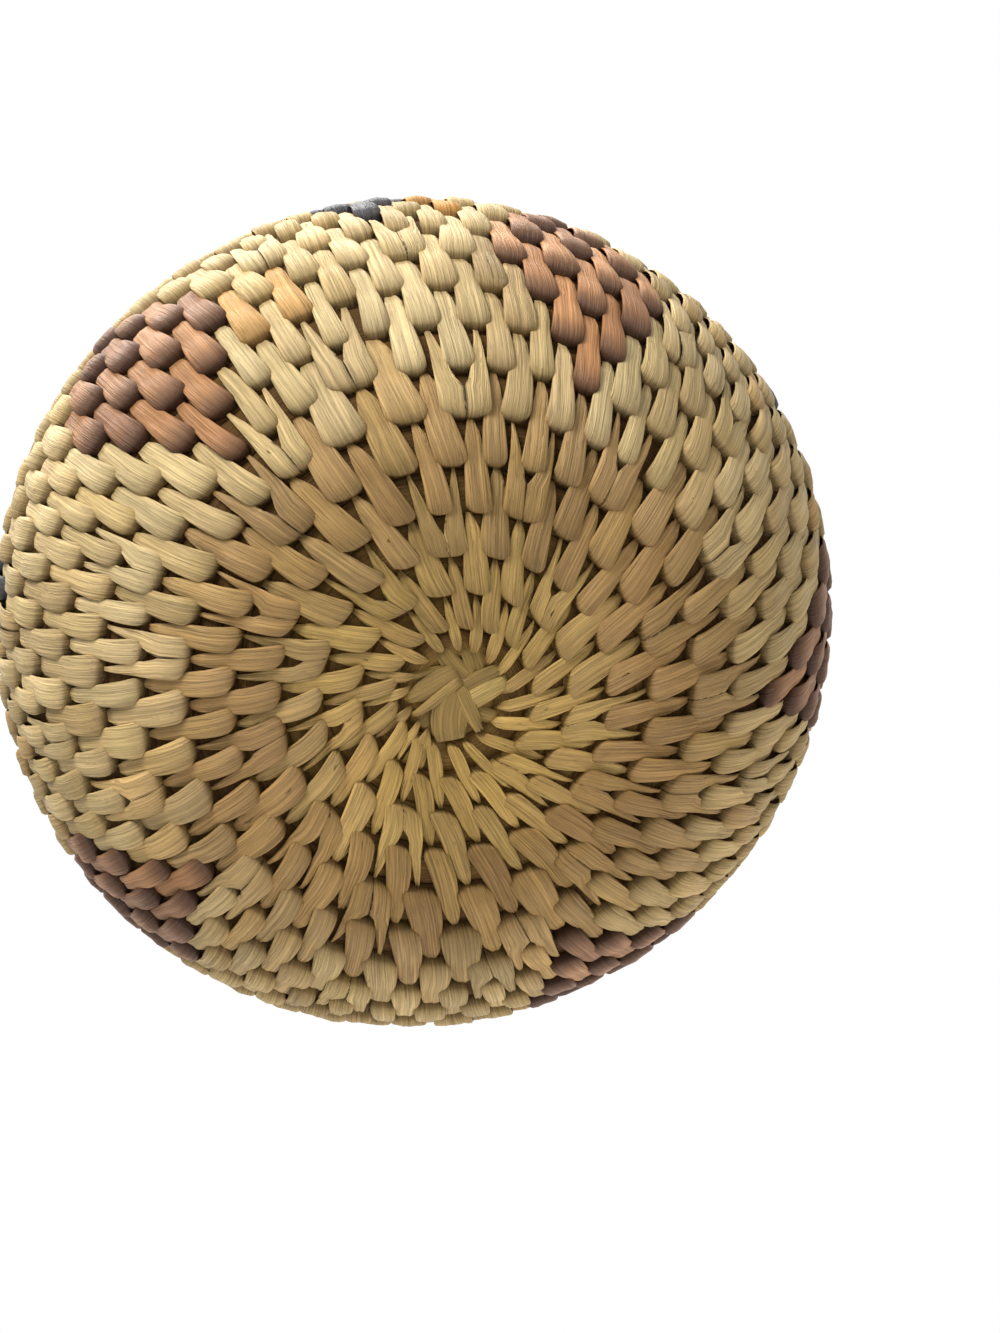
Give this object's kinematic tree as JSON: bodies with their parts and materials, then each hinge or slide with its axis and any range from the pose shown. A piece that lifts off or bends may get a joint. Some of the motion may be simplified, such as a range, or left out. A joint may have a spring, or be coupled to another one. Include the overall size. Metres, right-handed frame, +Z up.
{
  "type": "lidded coiled basket",
  "caption": "Round squat basket of coiled and sewn palm leaf with a flat base, a lift-off domed lid and a coiled knob.",
  "frame": {"origin": "middle of the flat base, on the surface it stands on", "axes": "+Z up through the knob, +X and +Y across the basket; the side at -Y is nearest in the pictured view"},
  "size_m": [0.1594, 0.1594, 0.1314],
  "materials": {
    "straw_palm": "dry palm leaf strips, satin",
    "green_palm": "younger palm leaf, satin",
    "dark_palm": "brown dyed palm leaf, satin",
    "black_dyed_palm": "black dyed palm leaf, satin"
  },
  "bodies": {
    "body": {"base_coil": "straw_palm", "heel_coil": "straw_palm", "belly_coil": "straw_palm", "shoulder_coil": "straw_palm", "neck_coil": "straw_palm", "mouth_rim_round": "black_dyed_palm", "base_knot_long_strip_left": "green_palm", "base_knot_long_strip_middle": "green_palm", "base_knot_long_strip_right": "green_palm", "base_knot_cross_strip_left": "green_palm", "base_knot_cross_strip_middle": "green_palm", "base_knot_cross_strip_right": "green_palm"},
    "lid": {"lid_coil": "straw_palm", "lid_edge_round": "straw_palm", "lid_collar_coil": "straw_palm", "knob_coil": "straw_palm", "knob_plug": "dark_palm", "lid_knot_long_strip_left": "green_palm", "lid_knot_long_strip_middle": "green_palm", "lid_knot_long_strip_right": "green_palm", "lid_knot_cross_strip_left": "green_palm", "lid_knot_cross_strip_middle": "green_palm", "lid_knot_cross_strip_right": "green_palm"}
  },
  "joints": [
    {"name": "lid_lift", "type": "slide", "parent": "body", "child": "lid", "axis": [0, 0, 1], "range_m": [0, 0.07]}
  ]
}
